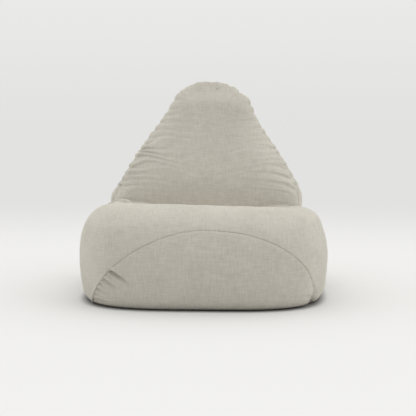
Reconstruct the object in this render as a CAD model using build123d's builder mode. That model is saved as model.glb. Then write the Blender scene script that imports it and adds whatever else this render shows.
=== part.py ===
from build123d import *
import os

# Bean bag chair: a removable woven cover in six sewn panels with a zip down its
# back, a thinner inner bag with its own zip, and a loose fill of foam beads.
# Millimetres. +Z is up, the sitter faces -Y, and the origin is on the floor
# under the middle of the bag.

# --- Driving sizes of the filled bag -----------------------------------------
HALF_WIDTH = 486          # of the widest level of the seat
FRONT_REACH = 477         # from the origin to the front of the seat
ZIP_PROUD = 6.65          # how far the zip pull stands out behind the bag
REAR_LINE = FRONT_REACH - ZIP_PROUD   # straight rear centre line with the zips
SEAT_REAR = 450           # from the origin to the rear of the seat body
SEAT_HEIGHT = 375         # top of the roll round the seat
CORNER_RADIUS = 300       # of the seat's plan at its widest level
BAG_TOP = 848

# How far the seat's outline pulls in at each height, floor to flat top.
SEAT_LEVELS = (
    (0, 17),
    (70, 4),
    (165, 0),
    (245, 12),
    (310, 46),
    (350, 92),
    (SEAT_HEIGHT, 160),
)

# The back: height, half width, front face and rear face.
BACK_LEVELS = (
    (20, 350, 110, 425),
    (120, 385, 125, REAR_LINE),
    (360, 404, 150, REAR_LINE),
    (660, 222, 292, REAR_LINE),
    (770, 164, 346, 464),
    (BAG_TOP, 40, 400, 436),
)

# The hollow that the sitter presses into the seat, a shallow bowl.
DISH_RADIUS = 285
DISH_DEPTH = 72
DISH_CENTRE_Y = -35

# --- Layers, as distances in from the outer surface --------------------------
COVER_THICKNESS = 1.6
LINER_OUTER = 5.0
LINER_INNER = 5.8
FILL_OUTER = 7.5

# --- Seams -------------------------------------------------------------------
ARCH_HALF_WIDTH = 442     # of the front panel where it meets the floor
ARCH_HEIGHT = 303         # of the front panel's rounded top
ARCH_BACK_Y = -200        # the arched cut stays in front of this
SIDE_SEAM_Y = 250         # where the seat panel's sides meet the rear panels
BACK_SEAM_START = 360     # height at which the back seam starts to lean
BACK_SEAM_TOP_Y = 440     # where the back seam reaches the top of the back
SEAT_SEAM_HEIGHT = 296    # the backrest panel stays above this
BEYOND = 1200             # past every edge of the bag

# --- Zips --------------------------------------------------------------------
COVER_ZIP = (130, 610)    # lowest and highest end of the cover's zip
LINER_ZIP = (165, 575)
TAPE_WIDTH = 15
TAPE_GAP = 1.0            # from the centre line to each tape
COIL_INNER = 0.6          # from the centre line to each row of coil
COIL_OUTER = 3.4
SLOT_CLEARANCE = 0.5
STOP_HEIGHT = 5
SLIDER_LENGTH = 13
SLIDER_HALF_WIDTH = 5
FLANGE = 0.9              # wall that wraps the coil on each side of a slider
WEDGE = 0.8               # post that parts the two rows of coil
RUNNING_CLEARANCE = 0.35  # between a slider and what it runs on

COVER_TAPE_SURFACE = REAR_LINE - 0.4
COVER_TAPE_THICKNESS = 0.7
COVER_COIL_HEIGHT = 1.5
COVER_PLATE = 1.0
LINER_TAPE_SURFACE = REAR_LINE - LINER_OUTER
LINER_TAPE_THICKNESS = 0.5
LINER_COIL_HEIGHT = 0.9
LINER_PLATE = 0.6

PIN_RADIUS = 0.7          # cross pin that carries the pull tab
EYE_BORE = 1.05
EYE_RADIUS = 1.8
LUG_RADIUS = 2.0
LUG_INNER = 2.2
LUG_OUTER = 3.4
TAB_HALF_WIDTH = 1.8      # of the pull tab's eye, between the lugs
TAB_NECK = 5              # from the pin down to the wide blade
TAB_LENGTH = 30
TAB_BLADE_WIDTH = 8
TAB_THICKNESS = 1.2

# Blank care label, sewn inside the cover beside its zip.
LABEL_X = (30, 60)
LABEL_Z = (150, 210)
LABEL_DEPTH = (4.6, 4.2)  # its two faces, in from the rear line

os.makedirs("parts", exist_ok=True)


def save(piece, label):
    """Name a finished piece and write it as its own STEP file."""
    piece.part.label = label
    export_step(piece.part, f"parts/{label}.step")


def squeezed(height, lowest, highest, inset):
    """A height moved in so that both ends of a range come in by the inset."""
    span = highest - lowest
    return lowest + inset + (height - lowest) * (span - 2 * inset) / span


# --- The filled bag's shape --------------------------------------------------
def seat_body(inset):
    """The wide, low body with the sitter's hollow in its top."""
    ball_radius = (DISH_RADIUS**2 + DISH_DEPTH**2) / (2 * DISH_DEPTH)
    with BuildPart() as seat:
        for height, pull_in in SEAT_LEVELS:
            edge = pull_in + inset
            with BuildSketch(Plane.XY.offset(squeezed(height, 0, SEAT_HEIGHT, inset))):
                with Locations((0, (SEAT_REAR - FRONT_REACH) / 2)):
                    RectangleRounded(
                        2 * (HALF_WIDTH - edge),
                        FRONT_REACH + SEAT_REAR - 2 * edge,
                        CORNER_RADIUS - edge,
                    )
        loft(ruled=True)
        with Locations((0, DISH_CENTRE_Y, SEAT_HEIGHT - DISH_DEPTH + ball_radius)):
            Sphere(ball_radius + inset, rotation=(90, 0, 0), mode=Mode.SUBTRACT)
    return seat.part


def back_body(inset):
    """The tall tapering back, which grows out of the rear of the seat."""
    lowest = BACK_LEVELS[0][0]
    with BuildPart() as back:
        for height, half_width, front, rear in BACK_LEVELS:
            with BuildSketch(Plane.XY.offset(squeezed(height, lowest, BAG_TOP, inset))):
                with Locations((0, (front + rear) / 2)):
                    Ellipse(half_width - inset, (rear - front) / 2 - inset)
        loft(ruled=True)
    return back.part


def bag(inset):
    """The whole filled bag, moved in from its outer surface by the inset."""
    with BuildPart() as whole:
        add(seat_body(inset))
        add(back_body(inset))
    return whole.part


# --- Cutting shapes ----------------------------------------------------------
def block(x_range, y_range, z_range):
    """A box between the given limits."""
    middle = ((x_range[0] + x_range[1]) / 2, (y_range[0] + y_range[1]) / 2)
    with BuildPart() as solid:
        with BuildSketch(Plane.XY.offset(z_range[0])):
            with Locations(middle):
                Rectangle(x_range[1] - x_range[0], y_range[1] - y_range[0])
        extrude(amount=z_range[1] - z_range[0])
    return solid.part


def slab(bottom, top):
    """Everything between two heights."""
    return block((-BEYOND, BEYOND), (-BEYOND, BEYOND), (bottom, top))


def arch_prism():
    """The front panel's rounded outline, carried through the front wall."""
    with BuildPart() as prism:
        with BuildSketch(Plane.XZ.offset(-ARCH_BACK_Y)):
            Ellipse(ARCH_HALF_WIDTH, ARCH_HEIGHT)
        extrude(amount=BEYOND)
    return prism.part


def rear_prism():
    """Everything behind the side seams and the leaning back seam."""
    above = BAG_TOP + 1
    with BuildPart() as prism:
        with BuildSketch(Plane.YZ):
            with BuildLine():
                Polyline(
                    (SIDE_SEAM_Y, -1),
                    (SIDE_SEAM_Y, BACK_SEAM_START),
                    (BACK_SEAM_TOP_Y, above),
                    (BEYOND, above),
                    (BEYOND, -1),
                    close=True,
                )
            make_face()
        extrude(amount=BEYOND, both=True)
    return prism.part


def zip_slot(surface, thickness, zip_range):
    """The gap in a layer that a zip's tapes fill."""
    half = TAPE_GAP + TAPE_WIDTH + SLOT_CLEARANCE
    ends = (zip_range[0] - SLOT_CLEARANCE, zip_range[1] + SLOT_CLEARANCE)
    return block((-half, half), (surface - 3 * thickness, surface + thickness), ends)


under_bag = slab(-1, COVER_THICKNESS)
front_arch = arch_prism()
behind_seam = rear_prism()
outer_back = back_body(0)
inside_cover = bag(COVER_THICKNESS)

# --- Cover -------------------------------------------------------------------
with BuildPart() as base_panel:
    add(seat_body(0))
    add(under_bag, mode=Mode.INTERSECT)
save(base_panel, "base_panel")

with BuildPart() as seat_skin:
    add(seat_body(0))
    add(inside_cover, mode=Mode.SUBTRACT)
    add(outer_back, mode=Mode.SUBTRACT)
    add(under_bag, mode=Mode.SUBTRACT)

with BuildPart() as front_panel:
    add(seat_skin.part)
    add(front_arch, mode=Mode.INTERSECT)
save(front_panel, "front_panel")

with BuildPart() as seat_panel:
    add(seat_skin.part)
    add(front_arch, mode=Mode.SUBTRACT)
    add(behind_seam, mode=Mode.SUBTRACT)
save(seat_panel, "seat_panel")

with BuildPart() as backrest_panel:
    add(outer_back)
    add(inside_cover, mode=Mode.SUBTRACT)
    add(slab(-1, SEAT_SEAM_HEIGHT), mode=Mode.SUBTRACT)
    add(behind_seam, mode=Mode.SUBTRACT)
save(backrest_panel, "backrest_panel")

with BuildPart() as rear_skin:
    add(bag(0))
    add(inside_cover, mode=Mode.SUBTRACT)
    add(under_bag, mode=Mode.SUBTRACT)
    add(behind_seam, mode=Mode.INTERSECT)
    add(zip_slot(REAR_LINE, COVER_THICKNESS, COVER_ZIP), mode=Mode.SUBTRACT)

for label, x_range in (
    ("rear_left_panel", (-BEYOND, 0)),
    ("rear_right_panel", (0, BEYOND)),
):
    with BuildPart() as rear_panel:
        add(rear_skin.part)
        add(block(x_range, (0, BEYOND), (-1, BAG_TOP + 1)), mode=Mode.INTERSECT)
    save(rear_panel, label)

# --- Inner bag, fill and label -----------------------------------------------
with BuildPart() as liner_bag:
    add(bag(LINER_OUTER))
    add(bag(LINER_INNER), mode=Mode.SUBTRACT)
    add(
        zip_slot(LINER_TAPE_SURFACE, LINER_INNER - LINER_OUTER, LINER_ZIP),
        mode=Mode.SUBTRACT,
    )
save(liner_bag, "liner_bag")

with BuildPart() as bead_fill:
    add(bag(FILL_OUTER))
save(bead_fill, "bead_fill")

with BuildPart() as care_label:
    add(block(LABEL_X, (REAR_LINE - LABEL_DEPTH[0], REAR_LINE - LABEL_DEPTH[1]), LABEL_Z))
save(care_label, "care_label")


# --- Zip pieces --------------------------------------------------------------
def save_pair(piece, label):
    """Write a left-hand piece and its mirror image on the right."""
    save(piece, f"{label}_left")
    with BuildPart() as other:
        add(mirror(piece.part, about=Plane.YZ))
    save(other, f"{label}_right")


def zip_tape(surface, thickness, zip_range):
    """The left tape of a zip, flush in its slot just under the layer's face."""
    with BuildPart() as tape:
        add(
            block(
                (-TAPE_GAP - TAPE_WIDTH, -TAPE_GAP),
                (surface - thickness, surface),
                zip_range,
            )
        )
    return tape


def zip_coil(surface, height, zip_range):
    """The left row of coil, a rounded bar lying on its tape."""
    with BuildPart() as row:
        with BuildSketch(Plane.XY.offset(zip_range[0] + STOP_HEIGHT)):
            with Locations((-(COIL_INNER + COIL_OUTER) / 2, surface + height / 2)):
                RectangleRounded(COIL_OUTER - COIL_INNER, height, height * 0.35)
        extrude(amount=zip_range[1] - zip_range[0] - 2 * STOP_HEIGHT)
    return row


def zip_stop(surface, height, bottom):
    """A crimped clip that ends the coil, across both tapes."""
    with BuildPart() as stop:
        with BuildSketch(Plane.XY.offset(bottom)):
            with Locations((0, surface + height / 2)):
                RectangleRounded(2 * COIL_OUTER + 1, height, height * 0.3)
        extrude(amount=STOP_HEIGHT)
    return stop


def slider_body(surface, tape_thickness, coil_height, plate, bottom):
    """A slider: two plates either side of the zip, held together by a wedge."""
    outer_face = surface + coil_height + RUNNING_CLEARANCE
    inner_face = surface - tape_thickness - RUNNING_CLEARANCE
    flange_foot = surface + RUNNING_CLEARANCE
    flange_x = SLIDER_HALF_WIDTH - FLANGE / 2
    middle = bottom + SLIDER_LENGTH / 2
    with BuildPart() as slider:
        for face, thickness in ((outer_face, -plate), (inner_face, plate)):
            with BuildSketch(Plane.XZ.offset(-face)):
                with Locations((0, middle)):
                    RectangleRounded(
                        2 * SLIDER_HALF_WIDTH, SLIDER_LENGTH, SLIDER_HALF_WIDTH * 0.5
                    )
            extrude(amount=thickness)
        with BuildSketch(Plane.XZ.offset(-inner_face)):
            with Locations((0, bottom + SLIDER_LENGTH * 0.75)):
                Rectangle(WEDGE, SLIDER_LENGTH * 0.35)
        extrude(amount=inner_face - outer_face)
        with BuildSketch(Plane.XZ.offset(-flange_foot)):
            with Locations((-flange_x, middle), (flange_x, middle)):
                Rectangle(FLANGE, SLIDER_LENGTH * 0.55)
        extrude(amount=flange_foot - outer_face)
    return slider


def save_zip_track(prefix, surface, tape_thickness, coil_height, zip_range):
    """The tapes, coils and end stops of one zip."""
    save_pair(zip_tape(surface, tape_thickness, zip_range), f"{prefix}_tape")
    save_pair(zip_coil(surface, coil_height, zip_range), f"{prefix}_coil")
    save(zip_stop(surface, coil_height, zip_range[0]), f"{prefix}_bottom_stop")
    top = zip_range[1] - STOP_HEIGHT
    save(zip_stop(surface, coil_height, top), f"{prefix}_top_stop")


# --- Cover zip ---------------------------------------------------------------
save_zip_track("zip", COVER_TAPE_SURFACE, COVER_TAPE_THICKNESS, COVER_COIL_HEIGHT, COVER_ZIP)

slider_bottom = COVER_ZIP[0] + STOP_HEIGHT
slider_face = COVER_TAPE_SURFACE + COVER_COIL_HEIGHT + RUNNING_CLEARANCE + COVER_PLATE
pin_y = slider_face + LUG_RADIUS + 0.2
pin_z = slider_bottom + SLIDER_LENGTH * 0.7
cover_slider = slider_body(
    COVER_TAPE_SURFACE, COVER_TAPE_THICKNESS, COVER_COIL_HEIGHT, COVER_PLATE, slider_bottom
)
lug_foot = pin_y - slider_face

with BuildPart() as zip_slider:
    add(cover_slider.part)
    for lug_start in (-LUG_OUTER, LUG_INNER):
        with BuildSketch(Plane.YZ.offset(lug_start)):
            with Locations((pin_y, pin_z)):
                Circle(LUG_RADIUS)
            with Locations((pin_y - lug_foot / 2, pin_z)):
                Rectangle(lug_foot, 2 * LUG_RADIUS)
        extrude(amount=LUG_OUTER - LUG_INNER)
    with BuildSketch(Plane.YZ.offset(-LUG_OUTER)):
        with Locations((pin_y, pin_z)):
            Circle(PIN_RADIUS)
    extrude(amount=2 * LUG_OUTER)
save(zip_slider, "zip_slider")

blade_length = TAB_LENGTH - TAB_NECK
with BuildPart() as zip_pull_tab:
    with BuildSketch(Plane.YZ.offset(-TAB_HALF_WIDTH)):
        with Locations((pin_y, pin_z)):
            Circle(EYE_RADIUS)
        with Locations((pin_y, pin_z - TAB_NECK / 2 - 0.5)):
            Rectangle(TAB_THICKNESS, TAB_NECK + 1)
        with Locations((pin_y, pin_z)):
            Circle(EYE_BORE, mode=Mode.SUBTRACT)
    extrude(amount=2 * TAB_HALF_WIDTH)
    with BuildSketch(Plane.XZ.offset(-pin_y - TAB_THICKNESS / 2)):
        with Locations((0, pin_z - TAB_NECK - blade_length / 2)):
            RectangleRounded(TAB_BLADE_WIDTH, blade_length, TAB_BLADE_WIDTH * 0.45)
        with Locations((0, pin_z - TAB_LENGTH + TAB_BLADE_WIDTH * 0.6)):
            Circle(TAB_BLADE_WIDTH * 0.22, mode=Mode.SUBTRACT)
    extrude(amount=TAB_THICKNESS)
save(zip_pull_tab, "zip_pull_tab")

# --- Inner bag's zip, whose slider has no pull so that a child can't open it --
save_zip_track(
    "liner_zip", LINER_TAPE_SURFACE, LINER_TAPE_THICKNESS, LINER_COIL_HEIGHT, LINER_ZIP
)

liner_slider = slider_body(
    LINER_TAPE_SURFACE,
    LINER_TAPE_THICKNESS,
    LINER_COIL_HEIGHT,
    LINER_PLATE,
    LINER_ZIP[0] + STOP_HEIGHT,
)
save(liner_slider, "liner_zip_slider")
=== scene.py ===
"""A bean bag chair in greige linen cloth: shaped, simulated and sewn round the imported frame."""
from math import cos, pi, radians, sin

import bmesh
import bpy
import numpy as np
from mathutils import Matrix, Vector, kdtree


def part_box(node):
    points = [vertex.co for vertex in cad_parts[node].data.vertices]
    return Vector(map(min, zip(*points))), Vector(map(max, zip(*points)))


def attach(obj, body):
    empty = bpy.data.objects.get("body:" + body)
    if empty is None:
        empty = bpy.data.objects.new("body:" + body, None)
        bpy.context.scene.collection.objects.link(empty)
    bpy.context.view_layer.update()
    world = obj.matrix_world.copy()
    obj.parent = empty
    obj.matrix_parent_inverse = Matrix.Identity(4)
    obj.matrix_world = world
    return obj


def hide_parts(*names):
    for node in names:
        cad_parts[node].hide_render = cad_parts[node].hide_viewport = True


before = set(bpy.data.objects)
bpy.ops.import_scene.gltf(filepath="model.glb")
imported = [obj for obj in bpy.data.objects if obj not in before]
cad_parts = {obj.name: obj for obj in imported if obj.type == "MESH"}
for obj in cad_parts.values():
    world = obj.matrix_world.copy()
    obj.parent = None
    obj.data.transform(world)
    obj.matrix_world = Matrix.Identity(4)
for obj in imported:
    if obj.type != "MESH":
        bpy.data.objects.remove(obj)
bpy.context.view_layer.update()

# --- Sizes in metres, from the frame ------------------------------------------
BOX_LOW, BOX_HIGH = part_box("bead_fill")
SKIN = 0.0075                                   # cloth outside the fill
HALF_WIDTH = BOX_HIGH[0] + SKIN
FRONT_Y = BOX_LOW[1] - SKIN
REAR_Y = BOX_HIGH[1] + SKIN
SEAT_REAR_Y = REAR_Y - 0.020    # the seat stops short of the back's rear face
TOP_Z = BOX_HIGH[2] + SKIN
RIM_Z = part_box("seat_panel")[1][2]
ARCH_HALF_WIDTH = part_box("front_panel")[1][0] - 0.012
ARCH_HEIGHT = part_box("front_panel")[1][2] - 0.006
SIDE_SEAM_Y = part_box("seat_panel")[1][1]

PANEL_NAMES = (
    "front_panel", "seat_panel", "backrest_panel",
    "rear_left_panel", "rear_right_panel", "base_panel",
)
VOXEL = 0.0100                # of the even mesh that everything starts from
SEAM_HALF_WIDTH = 0.0030
SEAM_DEPTH = 0.0026
CLOTH_THICKNESS = 0.0016

# Limits that keep a measure to the part of the bag that it is meant for.
FRONT_PART_Y = -0.15          # the front panel lies in front of this
FRONT_PART_Z = 0.31           # and below this
REAR_PART_Y = 0.15            # the side and back seams lie behind this
BACK_PART_Z = 0.27            # the back stands above this


# --- Small numeric helpers ----------------------------------------------------
def smoothstep(t):
    t = np.clip(t, 0.0, 1.0)
    return t * t * (3 - 2 * t)


def monotone(points, x):
    """A smooth curve through points that never overshoots them."""
    xs, ys = np.array(points, float).T
    step = np.diff(xs)
    slope = np.diff(ys) / step
    tangent = np.zeros_like(xs)
    tangent[0], tangent[-1] = slope[0], slope[-1]
    same = slope[:-1] * slope[1:] > 0
    harmonic = 2 * slope[:-1] * slope[1:] / np.where(same, slope[:-1] + slope[1:], 1)
    tangent[1:-1] = np.where(same, harmonic, 0)
    x = np.clip(x, xs[0], xs[-1])
    i = np.clip(np.searchsorted(xs, x, side="right") - 1, 0, len(xs) - 2)
    t = (x - xs[i]) / step[i]
    return (
        ys[i] * (1 + 2 * t) * (1 - t) ** 2
        + ys[i + 1] * t * t * (3 - 2 * t)
        + step[i] * (tangent[i] * t * (1 - t) ** 2 - tangent[i + 1] * t * t * (1 - t))
    )


def noise(points, scale, seed):
    """Smooth noise, mostly between -1 and 1, at 3-D points; scale is its features' size."""
    waves = 14
    rng = np.random.default_rng(seed)
    total = np.zeros(len(points))
    for _ in range(waves):
        direction = rng.normal(size=3)
        direction /= np.linalg.norm(direction)
        frequency = 2 * pi / scale * rng.uniform(0.55, 1.25)
        total += np.sin(points @ direction * frequency + rng.uniform(0, 2 * pi))
    return total / (waves / 2)


def line_noise(s, scale, seed):
    """The same along a line."""
    points = np.zeros((len(s), 3))
    points[:, 0] = s
    return noise(points, scale * 0.6, seed)


# --- The bag's form -----------------------------------------------------------
SEAT_CENTRE_Y = (FRONT_Y + SEAT_REAR_Y) / 2
SEAT_HALF_DEPTH = (SEAT_REAR_Y - FRONT_Y) / 2
WIDEST_Z = 0.165
SHOULDER = 0.200          # how far in from the front the roll's top lies
SIDE_SHARE = 0.72         # the same at the sides, as a share of it
DISH_RUN = 0.26           # from the roll's top in to the middle of the dish
DISH_Z = 0.285
ROLL_POWER = 2.3          # of the roll's superellipse section
SIDE_RIM_DROPS = (0.24, 0.23)   # of the roll's rise, lost towards the back at -X and +X
RIM_TILT = 0.026          # fall of the roll's top for each metre towards +X
FLOOR_PULL_IN = 0.023
CONTACT_PULL_IN = 0.016   # more, in the lowest CONTACT_HEIGHT
CONTACT_HEIGHT = 0.035
BACK_FOOT_Z = 0.02        # the back starts here, inside the seat
BACK_POWER = 2.25         # of the back's superellipse sections
CROWN_HEIGHT = 0.09       # over which the back closes at its top

# Half width of the back and the y of its front and rear faces, by height.
BACK_WIDTHS = (
    (BACK_FOOT_Z, 0.350), (0.12, 0.385), (0.345, 0.408), (0.455, 0.357), (0.589, 0.270),
    (0.700, 0.192), (0.780, 0.148), (0.820, 0.106), (0.841, 0.055), (TOP_Z, 0.0),
)
BACK_FRONTS = (
    (BACK_FOOT_Z, 0.110), (0.36, 0.150), (0.66, 0.292), (0.77, 0.346), (TOP_Z, 0.400),
)
BACK_REARS = (
    (BACK_FOOT_Z, 0.430), (0.12, REAR_Y), (0.66, REAR_Y), (0.77, 0.464), (TOP_Z, 0.436),
)


def seat_profile():
    """Pull-in and height from the middle of the base, round the roll, to the dish."""
    under = [(0.46, 0.0), (0.30, 0.0), (0.15, 0.0), (0.052, 0.0), (0.036, 0.003)]
    lower = []
    for z in np.linspace(0.009, WIDEST_Z, 16):
        pull_in = FLOOR_PULL_IN * (1 - z / WIDEST_Z) ** 2
        contact = CONTACT_PULL_IN * max(0, 1 - z / CONTACT_HEIGHT) ** 2
        lower.append((pull_in + contact, z))
    rise = RIM_Z - WIDEST_Z
    roll = []
    for angle in np.linspace(0.06, 1.0, 26) * pi / 2:
        outward = cos(angle) ** (2 / ROLL_POWER)
        upward = sin(angle) ** (2 / ROLL_POWER)
        roll.append((SHOULDER * (1 - outward), WIDEST_Z + rise * upward))
    dish = [
        (SHOULDER + DISH_RUN * t, RIM_Z - (RIM_Z - DISH_Z) * float(smoothstep(t / 0.70)))
        for t in np.linspace(0.06, 1.0, 18)
    ]
    return under + lower + roll + dish


def ring(half_width, half_depth, centre_y, z, power, count=128):
    """Points of one superellipse ring."""
    angle = np.arange(count) * 2 * pi / count
    reach = (np.abs(np.cos(angle)) ** power + np.abs(np.sin(angle)) ** power) ** (-1 / power)
    return np.stack(
        [
            half_width * reach * np.cos(angle),
            centre_y + half_depth * reach * np.sin(angle),
            np.full(count, z),
        ],
        axis=1,
    )


def skinned(rings):
    """Vertices and faces of a closed surface through rings, capped at both ends."""
    count = len(rings[0])
    points = np.concatenate(rings + [rings[0].mean(0)[None], rings[-1].mean(0)[None]])
    faces = []
    for row in range(len(rings) - 1):
        for i in range(count):
            j = (i + 1) % count
            here, above = row * count, (row + 1) * count
            faces.append((here + i, here + j, above + j, above + i))
    first, last = len(points) - 2, len(points) - 1
    top = (len(rings) - 1) * count
    for i in range(count):
        j = (i + 1) % count
        faces.append((first, j, i))
        faces.append((last, top + i, top + j))
    return points, faces


def seat_surface():
    """The seat: boxy rings near the floor, rounder ones towards the dish."""
    rings = []
    for pull_in, z in seat_profile():
        power = 3.6 - 1.4 * smoothstep(pull_in / 0.40)
        across = np.interp(pull_in, (0, SHOULDER, 0.46), (0, SHOULDER * SIDE_SHARE, 0.48))
        if z < WIDEST_Z:
            across = pull_in
        half_depth = SEAT_HALF_DEPTH - pull_in * 0.96
        points = ring(HALF_WIDTH - across, half_depth, SEAT_CENTRE_Y, z, power)
        behind = smoothstep((points[:, 1] + 0.30) / 0.36)
        above = max(z - WIDEST_Z, 0)
        drop = np.interp(points[:, 0], (-0.3, 0.3), SIDE_RIM_DROPS) * behind
        points[:, 2] -= (drop + RIM_TILT * points[:, 0] / (RIM_Z - WIDEST_Z)) * above
        rings.append(points)
    return skinned(rings)


def back_section(z):
    """Half width, half depth and centre y of the back at a height."""
    front, rear = monotone(BACK_FRONTS, z), monotone(BACK_REARS, z)
    width = monotone(BACK_WIDTHS, z)
    closing = np.sqrt(np.clip((TOP_Z - z) / CROWN_HEIGHT, 0, 1))
    return width, (rear - front) / 2 * closing, (rear + front) / 2


def back_surface():
    """The back, in rings that are closer together towards the crown."""
    smallest = 0.002
    rings = []
    for t in np.linspace(0, 1, 90):
        z = BACK_FOOT_Z + (TOP_Z - 0.0005 - BACK_FOOT_Z) * (1 - (1 - t) ** 1.6)
        width, depth, centre = (float(v[0]) for v in back_section(np.array([z])))
        rings.append(ring(max(width, smallest), max(depth, smallest), centre, z, BACK_POWER))
    return skinned(rings)


def new_mesh(name, points, faces):
    mesh = bpy.data.meshes.new(name)
    mesh.from_pydata([tuple(p) for p in points], [], faces)
    mesh.update()
    thing = bpy.data.objects.new(name, mesh)
    bpy.context.scene.collection.objects.link(thing)
    return thing


def applied(thing):
    """The object, with its modifiers applied to a new mesh."""
    graph = bpy.context.evaluated_depsgraph_get()
    mesh = bpy.data.meshes.new_from_object(thing.evaluated_get(graph))
    thing.modifiers.clear()
    thing.data = mesh
    return thing


def coordinates(mesh):
    points = np.empty(len(mesh.vertices) * 3)
    mesh.vertices.foreach_get("co", points)
    return points.reshape(-1, 3)


def set_coordinates(mesh, points):
    mesh.vertices.foreach_set("co", np.ascontiguousarray(points, dtype=float).ravel())
    mesh.update()


def normals(mesh):
    values = np.empty(len(mesh.vertices) * 3)
    mesh.vertices.foreach_get("normal", values)
    return values.reshape(-1, 3)


def filled_form():
    """The seat and the back as one closed even mesh."""
    seat_points, seat_faces = seat_surface()
    back_points, back_faces = back_surface()
    shift = len(seat_points)
    faces = seat_faces + [tuple(i + shift for i in f) for f in back_faces]
    form = new_mesh("form", np.concatenate([seat_points, back_points]), faces)
    remesh = form.modifiers.new("even", "REMESH")
    remesh.mode = "VOXEL"
    remesh.voxel_size = VOXEL
    smooth = form.modifiers.new("ease", "SMOOTH")
    smooth.iterations = 4
    smooth.factor = 0.5
    return applied(form)


# --- Seams, as signed distances in metres -------------------------------------
ARCH_POWER_LEFT = 1.72
ARCH_POWER_RIGHT = 2.35
ARCH_LEFT_INSET = 0.022   # how much narrower its left half is
ARCH_CURL = 0.024         # how far the seam turns in again at the lower right
ARCH_CURL_HEIGHT = 0.075
JUNCTION_SHIFT = 0.006    # from the back's surface to the seam where it meets the seat
BACK_SEAM_START = 0.360
BACK_SEAM_TOP_Y = 0.440
BASE_PULL_IN = 0.036
BASE_POWER = 3.5          # of the base's superellipse outline
BASE_SCALE = 0.46         # metres from the base's middle to its outline, roughly
ZIP_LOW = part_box("zip_tape_left")[0][2]
ZIP_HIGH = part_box("zip_tape_left")[1][2]
ZIP_OPENING = 0.0075      # half width of the gap in the cloth over the zip


def as_distance(measure, points):
    """Turns an implicit measure into a rough signed distance from where it is 1."""
    step = 1e-4
    base = measure(points)
    gradient = np.stack(
        [(measure(points + step * axis) - base) / step for axis in np.eye(3)], axis=1
    )
    return (base - 1) / np.maximum(np.linalg.norm(gradient, axis=1), 0.5)


def arch_half_width(x, z):
    """The half width that the arch is drawn with, on either side and at a height."""
    curl = ARCH_CURL * np.clip(1 - z / ARCH_CURL_HEIGHT, 0, 1) ** 2
    return ARCH_HALF_WIDTH - np.where(x > 0, curl, ARCH_LEFT_INSET)


def arch_measure(points):
    """Below 1 inside the front panel's arch, and 1 on its seam."""
    x, z = points[:, 0], np.maximum(points[:, 2], 0)
    power = np.where(x < 0, ARCH_POWER_LEFT, ARCH_POWER_RIGHT)
    inner = (np.abs(x) / arch_half_width(x, z)) ** power + (z / ARCH_HEIGHT) ** power
    return inner ** (1 / power)


def arch_distance(points):
    return as_distance(arch_measure, points)


def back_measure(points):
    """Below 1 inside the back's sections, and 1 on its surface."""
    width, depth, centre = back_section(np.clip(points[:, 2], 0.03, TOP_Z - 0.004))
    across = np.abs(points[:, 0] / np.maximum(width, 0.02))
    along = np.abs((points[:, 1] - centre) / np.maximum(depth, 0.02))
    return (across**BACK_POWER + along**BACK_POWER) ** (1 / BACK_POWER)


def junction_distance(points):
    return as_distance(back_measure, points) - JUNCTION_SHIFT


def rear_seam_y(z):
    """Upright at the seat's sides, then leaning back with the backrest."""
    lean = (BACK_SEAM_TOP_Y - SIDE_SEAM_Y) / (TOP_Z - BACK_SEAM_START)
    return SIDE_SEAM_Y + lean * np.maximum(z - BACK_SEAM_START, 0)


def rear_distance(points):
    """Positive in front of the seam between the sides and the rear panels."""
    return rear_seam_y(points[:, 2]) - points[:, 1]


def base_distance(points):
    """Roughly how far outside the base's seam a point is."""
    x = points[:, 0] / (HALF_WIDTH - BASE_PULL_IN)
    y = (points[:, 1] - SEAT_CENTRE_Y) / (SEAT_HALF_DEPTH - BASE_PULL_IN)
    measure = (np.abs(x) ** BASE_POWER + np.abs(y) ** BASE_POWER) ** (1 / BASE_POWER)
    return (measure - 1) * BASE_SCALE


def cut_along(shape, level, eligible):
    """Runs an edge through the mesh wherever level is zero between eligible points."""
    level = np.where(np.abs(level) < 1e-6, 1e-6, level)
    fresh = set()
    for edge in list(shape.edges):
        a, b = edge.verts
        la, lb = level[a.index], level[b.index]
        if la * lb < 0 and eligible[a.index] and eligible[b.index]:
            share = min(max(la / (la - lb), 0.05), 0.95)
            fresh.add(bmesh.utils.edge_split(edge, a, share)[1])
    for face in {f for v in fresh for f in v.link_faces}:
        ends = [v for v in face.verts if v in fresh]
        if len(ends) == 2:
            bmesh.utils.face_split(face, ends[0], ends[1])


def bmesh_points(shape):
    shape.verts.index_update()
    shape.verts.ensure_lookup_table()
    return np.array([v.co for v in shape.verts])


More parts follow.
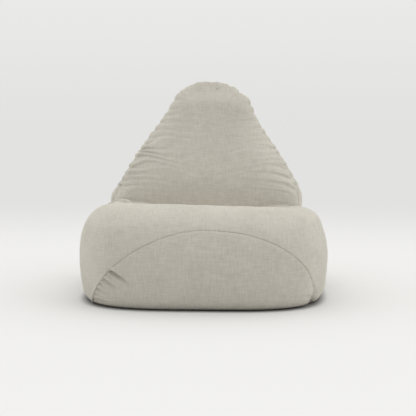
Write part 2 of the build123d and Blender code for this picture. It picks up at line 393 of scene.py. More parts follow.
def cut_seams(mesh):
    """Three rows of edges along every seam: its stitch line and a rail each side."""
    shape = bmesh.new()
    shape.from_mesh(mesh)
    rails = (-SEAM_HALF_WIDTH, 0.0, SEAM_HALF_WIDTH)
    for rail in rails:
        points = bmesh_points(shape)
        here = (points[:, 1] < FRONT_PART_Y) & (points[:, 2] > 0.001)
        cut_along(shape, arch_distance(points) - rail, here)
    for rail in rails:
        points = bmesh_points(shape)
        here = (points[:, 2] > 0.006) & (points[:, 1] > REAR_PART_Y)
        cut_along(shape, rear_distance(points) - rail, here)
    for rail in rails:
        points = bmesh_points(shape)
        here = (points[:, 2] > BACK_PART_Z) & (rear_distance(points) > -0.004)
        cut_along(shape, junction_distance(points) - rail, here)
    for rail in rails:
        points = bmesh_points(shape)
        cut_along(shape, base_distance(points) - rail, points[:, 2] < 0.03)
    for rail in (-ZIP_OPENING, -SEAM_HALF_WIDTH, 0.0, SEAM_HALF_WIDTH, ZIP_OPENING):
        points = bmesh_points(shape)
        on_rear = (rear_distance(points) < 0.004) & (points[:, 2] > 0.006)
        cut_along(shape, points[:, 0] - rail, on_rear)
    for height in (ZIP_LOW, ZIP_HIGH):
        points = bmesh_points(shape)
        near_zip = (rear_distance(points) < 0) & (np.abs(points[:, 0]) < 0.02)
        cut_along(shape, points[:, 2] - height, near_zip)
    shape.to_mesh(mesh)
    shape.free()
    mesh.update()


# --- Gathers, creases and the pull of the seams -------------------------------
def running_length(line):
    return np.concatenate([[0], np.cumsum(np.linalg.norm(np.diff(line, axis=0), axis=1))])


def nearest(targets, points):
    """The index of the nearest target to each point, and its distance."""
    tree = kdtree.KDTree(len(targets))
    for i, p in enumerate(targets):
        tree.insert(p, i)
    tree.balance()
    found = [tree.find(p)[1:] for p in points]
    return np.array([f[0] for f in found]), np.array([f[1] for f in found])


def distance_to(targets, points):
    return nearest(targets, points)[1]


def nearest_on(line, points):
    """Distance to a line of points, and how far along the line the nearest one is."""
    index, distance = nearest(line, points)
    return distance, running_length(line)[index]


def back_seam_line():
    """The gathered seam: up the left of the back, over its top and down the right."""
    lowest, highest = 0.345, TOP_Z - 0.006
    z = lowest + (highest - lowest) * (1 - (1 - np.linspace(0, 1, 260)) ** 2)
    width, depth, centre = back_section(z)
    y = rear_seam_y(z)
    along = np.clip(np.abs(y - centre) / np.maximum(depth, 1e-3), 0, 0.98)
    x = width * (1 - along**BACK_POWER) ** (1 / BACK_POWER)
    left = np.stack([-x, y, z], axis=1)
    right = np.stack([x, y, z], axis=1)[::-1]
    return np.concatenate([left, right])


def arch_seam_line():
    """The front panel's seam in the XZ plane, from the left floor to the right floor."""
    angle = np.linspace(0.0, pi, 500)
    power = np.where(angle < pi / 2, ARCH_POWER_LEFT, ARCH_POWER_RIGHT)
    side = -np.sign(np.cos(angle))
    z = ARCH_HEIGHT * np.sin(angle).clip(0) ** (2 / power)
    x = side * arch_half_width(side, z) * np.abs(np.cos(angle)) ** (2 / power)
    return np.stack([x, np.zeros_like(x), z], axis=1)


def bump(x, centre, width):
    return np.exp(-(((x - centre) / width) ** 2))


def pulled_in(distance):
    """The groove that stitching draws along a seam."""
    return -SEAM_DEPTH * np.exp(-((distance / (SEAM_HALF_WIDTH * 0.9)) ** 2))


PUFF_LENGTHS = (0.050, 0.054)   # along the seam, on the left and the right
PUFF_SIZE = 0.0140
PUFF_REACH = 0.030
HIGH_RIGHT_PUFFS = 0.0085       # added to the size at the upper right
CROWN_CALM = 0.0050             # taken off it over the crown
WRINKLE_SPACING = 0.038
WRINKLE_DEPTH = 0.0050
WRINKLE_REACH = 0.075
WRINKLE_TURN = 11.0             # per metre; turns the wrinkles level as they run inward
PINCH_DEPTH = 0.0055


def puffs(distance, s, z, left):
    """Short swellings between the pinches of the gathered seam."""
    length = np.where(left, *PUFF_LENGTHS)
    phase = s / length + 0.55 * line_noise(s, 0.14, 5)
    swelling = np.abs(np.sin(pi * phase)) ** 0.65 - 0.60
    size = PUFF_SIZE + HIGH_RIGHT_PUFFS * bump(z, 0.760, 0.060) * ~left
    size -= CROWN_CALM * bump(z, TOP_Z, 0.02)
    fade = np.exp(-((distance / PUFF_REACH) ** 1.3)) * smoothstep((0.065 - distance) / 0.030)
    return size * swelling * fade


def wrinkles(distance, s, z, left):
    """Long shallow wrinkles that run from the gathers across the backrest."""
    level = np.where(left, -WRINKLE_TURN, WRINKLE_TURN) * distance
    phase = s / WRINKLE_SPACING + 0.8 * line_noise(s, 0.15, 11) + level
    ripples = np.sin(2 * pi * phase) + 0.4 * np.sin(4.3 * pi * phase + 1)
    strength = np.where(left, bump(z, 0.50, 0.12), 0.8 * bump(z, 0.43, 0.07)) + 0.25
    fade = np.exp(-distance / WRINKLE_REACH) * smoothstep(distance / 0.02)
    return WRINKLE_DEPTH * strength * ripples * fade


def gathers(points):
    """Puffs, pinches and long wrinkles along the gathered back seam."""
    line = back_seam_line()
    near = (points[:, 2] > 0.30) & (points[:, 1] > 0.10)
    x, z = points[near][:, 0], points[near][:, 2]
    distance, s = nearest_on(line, points[near])
    left = x < 0
    front = rear_distance(points[near]) > 0
    lively = 0.75 + 0.35 * line_noise(s, 0.07, 8)
    pinch = PINCH_DEPTH * bump(distance, 0, 0.007) * (0.6 + 0.4 * lively)
    shift = puffs(distance, s, z, left) * lively - pinch
    shift += wrinkles(distance, s, z, left) * np.where(front, 1.0, 0.6)
    share = s / running_length(line)[-1]
    shift *= smoothstep(np.minimum(share, 1 - share) / 0.02)
    shift *= np.where(front, 1.0, smoothstep((np.abs(x) - 0.025) / 0.03))   # spares the zip
    out = np.zeros(len(points))
    out[near] = shift
    return out


# Creases that fan from the front panel's seam: length along the seam from the floor,
# depth, reach into the panel, half width, and slant of their line from square to the seam.
LEFT_CREASES = (
    (0.024, 0.0080, 0.050, 0.0065, 0.25),
    (0.048, 0.0070, 0.045, 0.0060, 0.20),
    (0.072, 0.0110, 0.055, 0.0070, 0.15),
    (0.098, 0.0080, 0.045, 0.0060, 0.15),
    (0.122, 0.0120, 0.055, 0.0065, 0.15),
    (0.144, 0.0080, 0.040, 0.0055, 0.20),
    (0.166, 0.0240, 0.060, 0.0068, 0.28),
)
RIGHT_CREASES = (
    (0.040, 0.0030, 0.060, 0.0080, 0.00),
    (0.085, 0.0025, 0.070, 0.0080, 0.05),
    (0.125, 0.0028, 0.080, 0.0085, 0.08),
    (0.165, 0.0020, 0.060, 0.0080, 0.10),
)


RIGHT_TUCK = 0.0130       # depth of the pinch that the right seam ends in
RIGHT_TUCK_LENGTH = 0.13
LEFT_EDGE = 0.0055        # height of the seam's raised edge at the lower left
LEFT_EDGE_LENGTH = 0.20


def fan(creases, along, distance, inside):
    """Creases with a low swell on their upper side, which run into the panel."""
    total = np.zeros(len(along))
    for place, deep, reach, width, slant in creases:
        across = along - place - slant * distance
        crease = 0.45 * deep * bump(across, 2.1 * width, 1.5 * width) - deep * bump(across, 0, width)
        run = bump(distance, 0, reach) * smoothstep((distance + 0.004) / 0.008)
        outside = 0.25 * np.exp(-distance / 0.008)
        total += crease * np.where(inside, run, outside)
    return total


def panel_creases(points):
    """The front panel's seam, its fan of creases and how its two ends meet the floor."""
    line = arch_seam_line()
    total = running_length(line)[-1]
    near = (points[:, 1] < FRONT_PART_Y) & (points[:, 2] < ARCH_HEIGHT + 0.05)
    distance, s = nearest_on(line, points[near] * (1, 0, 1))
    signed = arch_distance(points[near])
    shift = pulled_in(distance)
    shift += fan(LEFT_CREASES, s, distance, signed < 0)
    shift += fan(RIGHT_CREASES, total - s, distance, signed < 0)
    tuck = smoothstep(1 - (total - s) / RIGHT_TUCK_LENGTH)
    shift -= RIGHT_TUCK * tuck * bump(signed, 0.002, 0.008)
    edge = smoothstep(1 - s / LEFT_EDGE_LENGTH)
    shift += LEFT_EDGE * edge * bump(signed, 0.004, 0.005)
    out = np.zeros(len(points))
    out[near] = shift
    return out


JUNCTION_GROOVE = 0.006   # depth of the fold between the seat and the back
ZIP_EDGE_LIFT = 0.0010    # of the cloth beside the zip


def plain_seams(points):
    """Grooves of the other seams, and the cloth's edges beside the zip."""
    x, y, z = points.T
    rear = rear_distance(points)
    out = np.where((z > 0.004) & (z < 0.37) & (y > REAR_PART_Y), pulled_in(rear), 0)
    low = (z > BACK_PART_Z) & (z < 0.42) & (rear > 0)
    fold = points[low & (np.abs(junction_distance(points)) < 0.0025)]
    out[low] -= JUNCTION_GROOVE * bump(distance_to(fold, points[low]), 0, 0.008)
    on_rear = (rear < 0) & (z > 0.004)
    closed = on_rear & ((z < ZIP_LOW) | (z > ZIP_HIGH))
    out += np.where(closed, pulled_in(x), 0)
    beside_zip = on_rear & ~closed
    out += np.where(beside_zip, ZIP_EDGE_LIFT * np.exp(-((x / 0.012) ** 4)), 0)
    return out


def rim_folds(points):
    """What differs from side to side: folds where the seat's rim meets the back, and swells."""
    x, y, z = points.T
    on_rim = smoothstep((z - 0.25) / 0.05) * (rear_distance(points) > 0)
    left_lip = 0.014 * bump(x, -0.368, 0.026) * bump(y, 0.08, 0.09)
    left_hollow = 0.024 * bump(x, -0.305, 0.020) * bump(y, 0.08, 0.09)
    right_crease = 0.020 * bump(x - 0.10 * y, 0.358, 0.013) * bump(y, -0.02, 0.09)
    left_foot = 0.013 * bump(z, 0.335, 0.045) * smoothstep((-x - 0.29) / 0.06) * (y > 0.12)
    right_crown = 0.014 * bump(z, 0.740, 0.050) * smoothstep((x - 0.02) / 0.13)
    right_shoulder = 0.016 * bump(z, 0.325, 0.035) * smoothstep((x - 0.33) / 0.06) * (y < 0.20)
    folds = (left_lip - left_hollow - right_crease) * on_rim
    return folds + left_foot + right_crown + right_shoulder


def soft_unevenness(points):
    """Slow swells from the shifting beads, and faint pulls in the cloth."""
    calm = smoothstep(points[:, 2] / 0.03)
    rear = smoothstep((rear_distance(points) + 0.02) / 0.04)
    beside_zip = (1 - rear) * bump(points[:, 0], 0, 0.06)
    swell = 0.0030 * noise(points, 0.30, 21) + 0.0011 * noise(points, 0.09, 22)
    pulls = 0.0006 * noise(points * (1.0, 1.0, 2.4), 0.05, 23)
    return (swell + pulls) * calm * (1 - beside_zip)


def dress(mesh):
    """Moves the cloth in or out along its normals for all of its small features."""
    points = coordinates(mesh)
    shift = gathers(points) + panel_creases(points) + plain_seams(points)
    shift += rim_folds(points) + soft_unevenness(points)
    shift *= smoothstep((points[:, 2] + 0.001) / 0.012)
    moved = points + normals(mesh) * shift[:, None]
    moved[:, 2] = np.maximum(moved[:, 2], 0)
    set_coordinates(mesh, moved)


# --- Panels -------------------------------------------------------------------
def face_centres(mesh):
    values = np.empty(len(mesh.polygons) * 3)
    mesh.polygons.foreach_get("center", values)
    return values.reshape(-1, 3)


def panel_of_faces(mesh):
    """The name of the panel that each face belongs to; "open" is the gap over the zip."""
    centres = face_centres(mesh)
    x, y, z = centres.T
    rear = rear_distance(centres) < 0
    in_arch = (arch_distance(centres) < 0) & (y < FRONT_PART_Y) & (z < FRONT_PART_Z)
    over_zip = rear & (np.abs(x) < ZIP_OPENING) & (z > ZIP_LOW) & (z < ZIP_HIGH)
    panel = np.full(len(centres), "seat_panel", dtype=object)
    panel[(junction_distance(centres) < 0) & (z > BACK_PART_Z)] = "backrest_panel"
    panel[in_arch] = "front_panel"
    panel[rear & (x < 0)] = "rear_left_panel"
    panel[rear & (x >= 0)] = "rear_right_panel"
    panel[(base_distance(centres) < 0) & (z < 0.02)] = "base_panel"
    panel[over_zip] = "open"
    return panel


def thicken(thing, thickness):
    """Gives a smooth single layer its thickness, inward."""
    thing.data.polygons.foreach_set("use_smooth", [True] * len(thing.data.polygons))
    shell = thing.modifiers.new("thickness", "SOLIDIFY")
    shell.thickness = thickness
    shell.offset = -1
    shell.use_even_offset = False
    applied(thing)


def split_panels(mesh):
    """One cloth shell for each panel, cut from the dressed surface."""
    panel = panel_of_faces(mesh)
    made = {}
    for name in PANEL_NAMES:
        shape = bmesh.new()
        shape.from_mesh(mesh)
        shape.faces.ensure_lookup_table()
        unwanted = [shape.faces[i] for i in np.nonzero(panel != name)[0]]
        bmesh.ops.delete(shape, geom=unwanted, context="FACES")
        piece = bpy.data.meshes.new(name + "_cloth")
        shape.to_mesh(piece)
        shape.free()
        thing = bpy.data.objects.new(name + "_cloth", piece)
        bpy.context.scene.collection.objects.link(thing)
        thicken(thing, CLOTH_THICKNESS)
        made[name] = thing
    return made


# --- Cloth simulation ---------------------------------------------------------
SIMULATED_FRAMES = 20
LARGEST_MOVE = 0.011
LIGHTEST_HOLD = 0.42
MOST_SPARE_CLOTH = 0.07   # as a share of the cloth's length


def seam_hold(points):
    """1 on a seam and at the floor, easing to a light hold a few centimetres away."""
    front = points[:, 1] < FRONT_PART_Y
    rear = rear_distance(points)
    hold = np.where(front, bump(arch_distance(points), 0, 0.010), 0)
    hold = np.maximum(hold, bump(rear, 0, 0.010))
    hold = np.maximum(hold, np.where(rear < 0, np.exp(-((points[:, 0] / 0.030) ** 4)), 0))
    hold = np.maximum(hold, smoothstep(1 - points[:, 2] / 0.020))
    return LIGHTEST_HOLD + (1 - LIGHTEST_HOLD) * hold


def spare_cloth(points):
    """How much wider than its form the cloth is cut, from 0 to 1: most at the gathers."""
    near_gathers = np.exp(-distance_to(back_seam_line(), points) / 0.05)
    near_arch = np.where(points[:, 1] < FRONT_PART_Y, bump(arch_distance(points), 0, 0.05), 0)
    low_left = smoothstep(-points[:, 0] / 0.30) * smoothstep(1 - points[:, 2] / 0.25)
    return np.clip(0.25 + 0.75 * near_gathers + 0.5 * near_arch * low_left, 0, 1)


def weight_group(thing, name, weights):
    group = thing.vertex_groups.new(name=name)
    for i, weight in enumerate(weights):
        group.add([i], float(weight), "REPLACE")
    return group.name


def simulate(thing):
    """Lets the cut cloth swell and wrinkle between its seams, moving it a little."""
    start = coordinates(thing.data)
    cloth = thing.modifiers.new("cloth", "CLOTH")
    settings = cloth.settings
    settings.quality = 4
    settings.mass = 0.2
    settings.tension_stiffness = 12
    settings.compression_stiffness = 8
    settings.shear_stiffness = 5
    settings.bending_stiffness = 0.15
    settings.use_pressure = True
    settings.uniform_pressure_force = 4
    settings.effector_weights.gravity = 0
    settings.vertex_group_mass = weight_group(thing, "held", seam_hold(start))
    settings.vertex_group_shrink = weight_group(thing, "spare", spare_cloth(start))
    settings.shrink_min = 0
    settings.shrink_max = -MOST_SPARE_CLOTH
    cloth.collision_settings.use_collision = False
    cloth.point_cache.frame_end = SIMULATED_FRAMES
    for step in range(1, SIMULATED_FRAMES + 1):
        bpy.context.scene.frame_set(step)
    applied(thing)
    bpy.context.scene.frame_set(1)
    move = coordinates(thing.data) - start
    length = np.linalg.norm(move, axis=1, keepdims=True)
    move *= LARGEST_MOVE * np.tanh(length / LARGEST_MOVE) / np.maximum(length, 1e-9)
    set_coordinates(thing.data, start + move)


# --- Inner bag ----------------------------------------------------------------
LINER_DEPTH = 0.045           # under the form, clear of the cover's deepest fold
LINER_ZIP_DEPTH = 0.0052      # the same at its zip, flush with the tapes
LINER_LOWEST = 0.004
LINER_OPENING = 0.0166        # half width of the gap that its zip's tapes fill
LINER_THICKNESS = 0.0006


def move_inward(piece):
    """Moves the inner bag's cloth in from the form: least at its zip and the floor."""
    points = coordinates(piece)
    at_zip = np.where(rear_distance(points) < 0, np.exp(-((points[:, 0] / 0.055) ** 4)), 0)
    depth = LINER_DEPTH + (LINER_ZIP_DEPTH - LINER_DEPTH) * at_zip
    depth += 0.003 * noise(points, 0.07, 41) * (1 - at_zip)
    depth *= 0.25 + 0.75 * np.where(at_zip > 0.5, 1.0, smoothstep(points[:, 2] / 0.05))
    points -= normals(piece) * depth[:, None]
    points[:, 2] = np.maximum(points[:, 2], LINER_LOWEST)
    set_coordinates(piece, points)


def open_for_zip(piece):
    """Cuts the gap that the inner zip's tapes fill."""
    low, high = (corner[2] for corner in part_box("liner_zip_tape_left"))
    shape = bmesh.new()
    shape.from_mesh(piece)
    for side in (-LINER_OPENING, LINER_OPENING):
        points = bmesh_points(shape)
        cut_along(shape, points[:, 0] - side, rear_distance(points) < 0)
    for height in (low, high):
        points = bmesh_points(shape)
        near_zip = (rear_distance(points) < 0) & (np.abs(points[:, 0]) < 0.03)
        cut_along(shape, points[:, 2] - height, near_zip)
    gap = []
    for face in shape.faces:
        x, y, z = face.calc_center_median()
        if abs(x) < LINER_OPENING and y > 0.40 and low < z < high:
            gap.append(face)
    bmesh.ops.delete(shape, geom=gap, context="FACES")
    shape.to_mesh(piece)
    shape.free()


def liner_piece(form):
    """The inner bag: the same form further in and coarser, open where its zip is."""
    thing = bpy.data.objects.new("liner_bag_cloth", form.data.copy())
    bpy.context.scene.collection.objects.link(thing)
    coarser = thing.modifiers.new("coarser", "DECIMATE")
    coarser.ratio = 0.5
    piece = applied(thing).data
    move_inward(piece)
    open_for_zip(piece)
    thicken(thing, LINER_THICKNESS)
    return thing


# --- Zip coils ----------------------------------------------------------------
COIL_PITCH = 0.0015
COIL_STEPS = 12
WIRE_SIDES = 6


def coil_turns(node, phase):
    """A zip coil's wire, wound inside the plain block that stands for it."""
    low, high = (np.array(v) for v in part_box(node))
    wire = 0.19 * (high[1] - low[1])
    centre = (low + high) / 2
    half = (high - low) / 2 - wire
    count = int((high[2] - low[2] - 2 * wire) / COIL_PITCH * COIL_STEPS)
    turn = np.arange(count) * 2 * pi / COIL_STEPS
    path = np.stack([
        centre[0] + half[0] * np.cos(turn + phase),
        centre[1] + half[1] * np.sin(turn + phase),
        low[2] + wire + COIL_PITCH * turn / (2 * pi),
    ], axis=1)
    outward = np.stack([np.cos(turn + phase), np.sin(turn + phase), np.zeros(count)], axis=1)
    upward = np.array([0.0, 0.0, 1.0])
    rings = []
    for side in range(WIRE_SIDES):
        angle = 2 * pi * side / WIRE_SIDES
        rings.append(path + wire * (cos(angle) * outward + sin(angle) * upward))
    points, faces = skinned(list(np.stack(rings, axis=1)))
    thing = new_mesh(node + "_turns", points, faces)
    thing.data.polygons.foreach_set("use_smooth", [True] * len(thing.data.polygons))
    return thing


# --- Materials ----------------------------------------------------------------
def node_tree(name):
    """A new material, its tree and its shader."""
    material = bpy.data.materials.new(name)
    material.use_nodes = True
    tree = material.node_tree
    return material, tree, tree.nodes["Principled BSDF"]


def math_node(tree, operation, *values):
    node = tree.nodes.new("ShaderNodeMath")
    node.operation = operation
    for socket, value in zip(node.inputs, values):
        if isinstance(value, (int, float)):
            socket.default_value = value
        else:
            tree.links.new(value, socket)
    return node.outputs[0]


def ramp(tree, value, start, end, low, high):
    """Eases from low to high while value runs from start to end."""
    node = tree.nodes.new("ShaderNodeMapRange")
    node.interpolation_type = "SMOOTHSTEP"
    for socket, number in zip(list(node.inputs)[1:5], (start, end, low, high)):
        socket.default_value = number
    tree.links.new(value, node.inputs["Value"])
    return node.outputs[0]


def scaled_noise(tree, vector, scale, detail=2.0):
    """Noise whose features are 1/scale metres long along each axis."""
    stretch = tree.nodes.new("ShaderNodeVectorMath")
    stretch.operation = "MULTIPLY"
    stretch.inputs[1].default_value = scale
    tree.links.new(vector, stretch.inputs[0])
    node = tree.nodes.new("ShaderNodeTexNoise")
    node.inputs["Scale"].default_value = 1.0
    node.inputs["Detail"].default_value = detail
    tree.links.new(stretch.outputs[0], node.inputs["Vector"])
    return node.outputs["Fac"]


def mixed_colour(tree, share, dark, light):
    node = tree.nodes.new("ShaderNodeMix")
    node.data_type = "RGBA"
    node.inputs["A"].default_value = (*dark, 1)
    node.inputs["B"].default_value = (*light, 1)
    tree.links.new(share, node.inputs["Factor"])
    return node.outputs["Result"]


def add_bump(tree, shader, height, distance, strength=1.0):
    node = tree.nodes.new("ShaderNodeBump")
    node.inputs["Distance"].default_value = distance
    node.inputs["Strength"].default_value = strength
    tree.links.new(height, node.inputs["Height"])
    tree.links.new(node.outputs[0], shader.inputs["Normal"])


def plain_weave(pitch):
    """A node group for one flat plane of cloth: the threads' height and shade."""
    group = bpy.data.node_groups.new("plain weave", "ShaderNodeTree")
    group.interface.new_socket("Place", in_out="INPUT", socket_type="NodeSocketVector")
    for name in ("Height", "Shade"):
        group.interface.new_socket(name, in_out="OUTPUT", socket_type="NodeSocketFloat")
    place = group.nodes.new("NodeGroupInput").outputs["Place"]
    split = group.nodes.new("ShaderNodeSeparateXYZ")
    group.links.new(place, split.inputs[0])
    turn = 2 * pi / pitch
    across = math_node(group, "SINE", math_node(group, "MULTIPLY", split.outputs[0], turn))
    along = math_node(group, "SINE", math_node(group, "MULTIPLY", split.outputs[1], turn))
    crossings = math_node(group, "MULTIPLY", across, along)
    warp = scaled_noise(group, place, (1 / pitch, 45, 45))
    weft = scaled_noise(group, place, (45, 1 / pitch, 45))
    slubs_across = scaled_noise(group, place, (28, 300, 20), 1.0)
    slubs_along = scaled_noise(group, place, (300, 28, 20), 1.0)
    threads = math_node(group, "ADD", warp, weft)
    slubs = math_node(group, "ADD", slubs_across, slubs_along)
    height = math_node(group, "ADD", math_node(group, "MULTIPLY", crossings, 0.25), threads)
    height = math_node(group, "ADD", height, slubs)
    shade = math_node(group, "ADD", math_node(group, "MULTIPLY", threads, 0.35), slubs)
    shade = math_node(group, "MULTIPLY", shade, 0.74)
    result = group.nodes.new("NodeGroupOutput")
    group.links.new(height, result.inputs["Height"])
    group.links.new(shade, result.inputs["Shade"])
    return group


def woven_on_all_sides(tree, group):
    """The weave laid on the form from the front, the side and above, blended by facing."""
    place = tree.nodes.new("ShaderNodeTexCoord").outputs["Object"]
    facing = tree.nodes.new("ShaderNodeNewGeometry").outputs["Normal"]
    xyz = tree.nodes.new("ShaderNodeSeparateXYZ")
    tree.links.new(place, xyz.inputs[0])
    normal = tree.nodes.new("ShaderNodeSeparateXYZ")
    tree.links.new(facing, normal.inputs[0])
    weights = []
    for axis in range(3):
        size = math_node(tree, "ABSOLUTE", normal.outputs[axis])
        weights.append(math_node(tree, "POWER", size, 5.0))
    total = math_node(tree, "ADD", math_node(tree, "ADD", weights[0], weights[1]), weights[2])
    sums = [None, None]
    for axis, order in enumerate(((1, 2, 0), (0, 2, 1), (0, 1, 2))):
        plane = tree.nodes.new("ShaderNodeCombineXYZ")
        for target, source in enumerate(order):
            tree.links.new(xyz.outputs[source], plane.inputs[target])
        weave = tree.nodes.new("ShaderNodeGroup")
        weave.node_tree = group
        tree.links.new(plane.outputs[0], weave.inputs[0])
        share = math_node(tree, "DIVIDE", weights[axis], total)
        for which in range(2):
            part = math_node(tree, "MULTIPLY", weave.outputs[which], share)
            sums[which] = part if sums[which] is None else math_node(tree, "ADD", sums[which], part)
    return place, sums[0], sums[1]


def linen(name, dark, light, group, sheen=0.35):
    material, tree, shader = node_tree(name)
    place, height, shade = woven_on_all_sides(tree, group)
    patches = scaled_noise(tree, place, (9, 9, 9), 3.0)
    patches = math_node(tree, "MULTIPLY", math_node(tree, "SUBTRACT", patches, 0.5), 0.35)
    share = ramp(tree, math_node(tree, "ADD", shade, patches), 0.60, 1.40, 0.0, 1.0)
    tree.links.new(mixed_colour(tree, share, dark, light), shader.inputs["Base Color"])
    shader.inputs["Roughness"].default_value = 0.92
    shader.inputs["Specular IOR Level"].default_value = 0.25
    shader.inputs["Sheen Weight"].default_value = sheen
    shader.inputs["Sheen Roughness"].default_value = 0.45
    shader.inputs["Sheen Tint"].default_value = (*light, 1)
    add_bump(tree, shader, height, 0.0007, 0.8)
    return material


def grained(name, dark, light, roughness, scale, metallic=0.0, bump=0.0001):
    """A plain surface with a fine grain: tape, nylon, metal or satin."""
    material, tree, shader = node_tree(name)
    place = tree.nodes.new("ShaderNodeTexCoord").outputs["Object"]
    grain = scaled_noise(tree, place, scale, 3.0)
    share = ramp(tree, grain, 0.3, 0.7, 0.0, 1.0)
    tree.links.new(mixed_colour(tree, share, dark, light), shader.inputs["Base Color"])
    varied = ramp(tree, grain, 0.3, 0.7, roughness * 1.15, roughness * 0.85)
    tree.links.new(varied, shader.inputs["Roughness"])
    shader.inputs["Metallic"].default_value = metallic
    add_bump(tree, shader, grain, bump)
    return material


LINEN_DARK = (0.565, 0.538, 0.470)
LINEN_LIGHT = (0.695, 0.665, 0.590)
COTTON_DARK = (0.76, 0.76, 0.74)
COTTON_LIGHT = (0.86, 0.86, 0.84)
TAPE_GRAIN = (900, 60, 1800)
NYLON_GRAIN = (300, 300, 300)

cover_weave = plain_weave(0.0011)
liner_weave = plain_weave(0.0006)
cover_linen = linen("cover linen", LINEN_DARK, LINEN_LIGHT, cover_weave)
liner_cloth = linen("inner cotton", COTTON_DARK, COTTON_LIGHT, liner_weave, sheen=0.15)
tape_weave = grained("zip tape", (0.47, 0.45, 0.39), (0.60, 0.57, 0.50), 0.85, TAPE_GRAIN)
liner_tape_weave = grained(
    "inner zip tape", (0.70, 0.70, 0.68), (0.82, 0.82, 0.80), 0.85, TAPE_GRAIN
)
nylon = grained("zip coil nylon", (0.50, 0.48, 0.42), (0.60, 0.57, 0.50), 0.38, NYLON_GRAIN)
liner_nylon = grained(
    "inner zip coil nylon", (0.72, 0.72, 0.70), (0.80, 0.80, 0.78), 0.38, NYLON_GRAIN
)
zinc = grained(
    "brushed zinc", (0.42, 0.42, 0.43), (0.55, 0.55, 0.56), 0.34, (250, 250, 2200),
    metallic=1.0, bump=0.00003,
)
enamel = grained(
    "inner slider enamel", (0.68, 0.68, 0.66), (0.76, 0.76, 0.74), 0.30, (400, 400, 400)
)
satin = grained("label satin", (0.80, 0.80, 0.78), (0.90, 0.90, 0.88), 0.55, (1500, 60, 300))

FRAME_MATERIALS = {
    tape_weave: ("zip_tape_left", "zip_tape_right"),
    zinc: ("zip_bottom_stop", "zip_top_stop", "zip_slider", "zip_pull_tab"),
    satin: ("care_label",),
    liner_tape_weave: ("liner_zip_tape_left", "liner_zip_tape_right"),
    enamel: ("liner_zip_bottom_stop", "liner_zip_top_stop", "liner_zip_slider"),
}
for material, nodes in FRAME_MATERIALS.items():
    for node in nodes:
        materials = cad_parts[node].data.materials
        materials.clear()
        materials.append(material)

# --- Making the pieces --------------------------------------------------------
form = filled_form()
liner = liner_piece(form)
simulate(form)
smoother = form.modifiers.new("finer", "SUBSURF")
smoother.levels = 1
applied(form)
cut_seams(form.data)
dress(form.data)
panels = split_panels(form.data)
bpy.data.objects.remove(form)

for name, thing in panels.items():
    thing.data.materials.append(cover_linen)
    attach(thing, "bag")
    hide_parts(name)
liner.data.materials.append(liner_cloth)
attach(liner, "bag")
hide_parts("liner_bag", "bead_fill")

COILS = (("zip", "zip_coil", nylon), ("liner_zip", "liner_coil", liner_nylon))
for prefix, slot, material in COILS:
    for side, phase in (("left", 0.0), ("right", pi)):
        node = f"{prefix}_coil_{side}"
        coil = coil_turns(node, phase)
        coil.data.materials.append(material)
        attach(coil, "bag")
        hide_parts(node)

# --- Stage, light and camera --------------------------------------------------
AIM = Vector((0.0, 0.0, 0.40))
CAMERA_DISTANCE = 4.3
AZIMUTH = radians(2.5)
ELEVATION = radians(5.5)
PIXELS_PER_METRE = 247.0      # at the aim point
IMAGE_WIDTH = 416


def make_camera():
    data = bpy.data.cameras.new("camera")
    data.sensor_width = 36.0
    data.lens = 36.0 * PIXELS_PER_METRE * CAMERA_DISTANCE / IMAGE_WIDTH
    data.shift_x = 0.0072
    data.shift_y = -0.041
    camera = bpy.data.objects.new("camera", data)
    direction = Vector((
        sin(AZIMUTH) * cos(ELEVATION), -cos(AZIMUTH) * cos(ELEVATION), sin(ELEVATION)
    ))
    camera.location = AIM + direction * CAMERA_DISTANCE
    camera.rotation_euler = (-direction).to_track_quat("-Z", "Y").to_euler()
    bpy.context.scene.collection.objects.link(camera)
    bpy.context.scene.camera = camera


FLOOR_FRONT_Y = -14.0
BACKDROP_Y = 9.0
BACKDROP_BEND = 1.5
BACKDROP_TOP = 7.0
STAGE_HALF_WIDTH = 16.0
PAPER_TINT = (1.0, 0.998, 0.99)
FAR_TONE_LOW = 0.760
FAR_TONE_HIGH = 0.825
FLOOR_TONE = 0.80
# darkest colour of the painted contact shadow on the paper round the bag's foot
PAINTED_CONTACT_SHADOW_TONE = 0.30


def powered_share(tree, value, half):
    share = math_node(tree, "ABSOLUTE", math_node(tree, "DIVIDE", value, half))
    return math_node(tree, "POWER", share, BASE_POWER)


def footprint_reach(tree, xyz):
    """Grows from 0 under the bag's middle to 1 at the outline of its widest part."""
    across = powered_share(tree, xyz.outputs["X"], HALF_WIDTH)
    along = math_node(tree, "SUBTRACT", xyz.outputs["Y"], SEAT_CENTRE_Y)
    along = powered_share(tree, along, SEAT_HALF_DEPTH)
    return math_node(tree, "POWER", math_node(tree, "ADD", across, along), 1 / BASE_POWER)


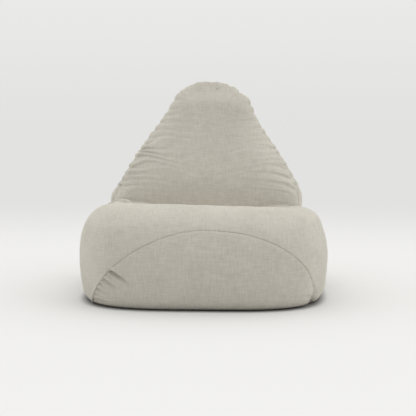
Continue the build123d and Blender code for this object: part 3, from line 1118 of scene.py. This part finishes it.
def paper():
    """Pale paper: lit near the bag, with a painted contact shadow that darkens its colour at the
    bag's outline, and evenly bright far behind.
    """
    material, tree, shader = node_tree("paper")
    place = tree.nodes.new("ShaderNodeTexCoord").outputs["Object"]
    xyz = tree.nodes.new("ShaderNodeSeparateXYZ")
    tree.links.new(place, xyz.inputs[0])
    far = ramp(tree, xyz.outputs["Y"], 0.6, 3.4, 0.0, 1.0)
    near = math_node(tree, "SUBTRACT", 1.0, far)
    reach = footprint_reach(tree, xyz)
    # Painted contact shadow: the paper's colour darkens towards the bag's outline, where shade falls
    # under its edge.
    contact = ramp(tree, reach, 0.93, 1.02, PAINTED_CONTACT_SHADOW_TONE, FLOOR_TONE)
    tone = math_node(tree, "MULTIPLY", contact, near)
    colour = tree.nodes.new("ShaderNodeCombineColor")
    for socket, tint in zip(colour.inputs, PAPER_TINT):
        tree.links.new(math_node(tree, "MULTIPLY", tone, tint), socket)
    tree.links.new(colour.outputs[0], shader.inputs["Base Color"])
    shader.inputs["Roughness"].default_value = 0.95
    shader.inputs["Specular IOR Level"].default_value = 0.0
    glow = ramp(tree, xyz.outputs["Z"], 0.0, 2.4, FAR_TONE_LOW, FAR_TONE_HIGH)
    glow = math_node(tree, "MULTIPLY", glow, far)
    shader.inputs["Emission Color"].default_value = (*PAPER_TINT, 1)
    tree.links.new(glow, shader.inputs["Emission Strength"])
    return material


def make_backdrop():
    """A floor that curves up into a wall behind, as a paper roll does in a studio."""
    profile = [(FLOOR_FRONT_Y, 0.0), (0.0, 0.0)]
    for turn in np.linspace(0, pi / 2, 16):
        y = BACKDROP_Y + BACKDROP_BEND * sin(turn)
        profile.append((y, BACKDROP_BEND * (1 - cos(turn))))
    profile.append((BACKDROP_Y + BACKDROP_BEND, BACKDROP_TOP))
    points = [(x, y, z) for y, z in profile for x in (-STAGE_HALF_WIDTH, STAGE_HALF_WIDTH)]
    faces = [(2 * i, 2 * i + 1, 2 * i + 3, 2 * i + 2) for i in range(len(profile) - 1)]
    backdrop = new_mesh("backdrop", points, faces)
    backdrop.data.polygons.foreach_set("use_smooth", [True] * len(faces))
    backdrop.data.materials.append(paper())


WALL_LIGHT = 0.80
CEILING_LIGHT = 1.32
CAMERA_SIDE_LIGHT = 0.27
LEFT_LIGHT = 1.15
RIGHT_LIGHT = 1.35


def make_world():
    """A bright studio all round: most light from above and the sides, least from the front."""
    world = bpy.data.worlds.new("studio")
    bpy.context.scene.world = world
    world.use_nodes = True
    tree = world.node_tree
    background = tree.nodes["Background"]
    xyz = tree.nodes.new("ShaderNodeSeparateXYZ")
    tree.links.new(tree.nodes.new("ShaderNodeTexCoord").outputs["Generated"], xyz.inputs[0])
    strength = ramp(tree, xyz.outputs["Z"], -0.1, 1.0, WALL_LIGHT, CEILING_LIGHT)
    for value in (
        ramp(tree, xyz.outputs["Y"], -1.0, -0.1, CAMERA_SIDE_LIGHT, 1.0),
        ramp(tree, xyz.outputs["X"], -0.9, -0.2, LEFT_LIGHT, 1.0),
        ramp(tree, xyz.outputs["X"], 0.2, 0.9, 1.0, RIGHT_LIGHT),
    ):
        strength = math_node(tree, "MULTIPLY", strength, value)
    tree.links.new(strength, background.inputs["Strength"])
    background.inputs["Color"].default_value = (1.0, 0.997, 0.988, 1)


make_camera()
make_backdrop()
make_world()
bpy.context.scene.view_settings.view_transform = "Standard"
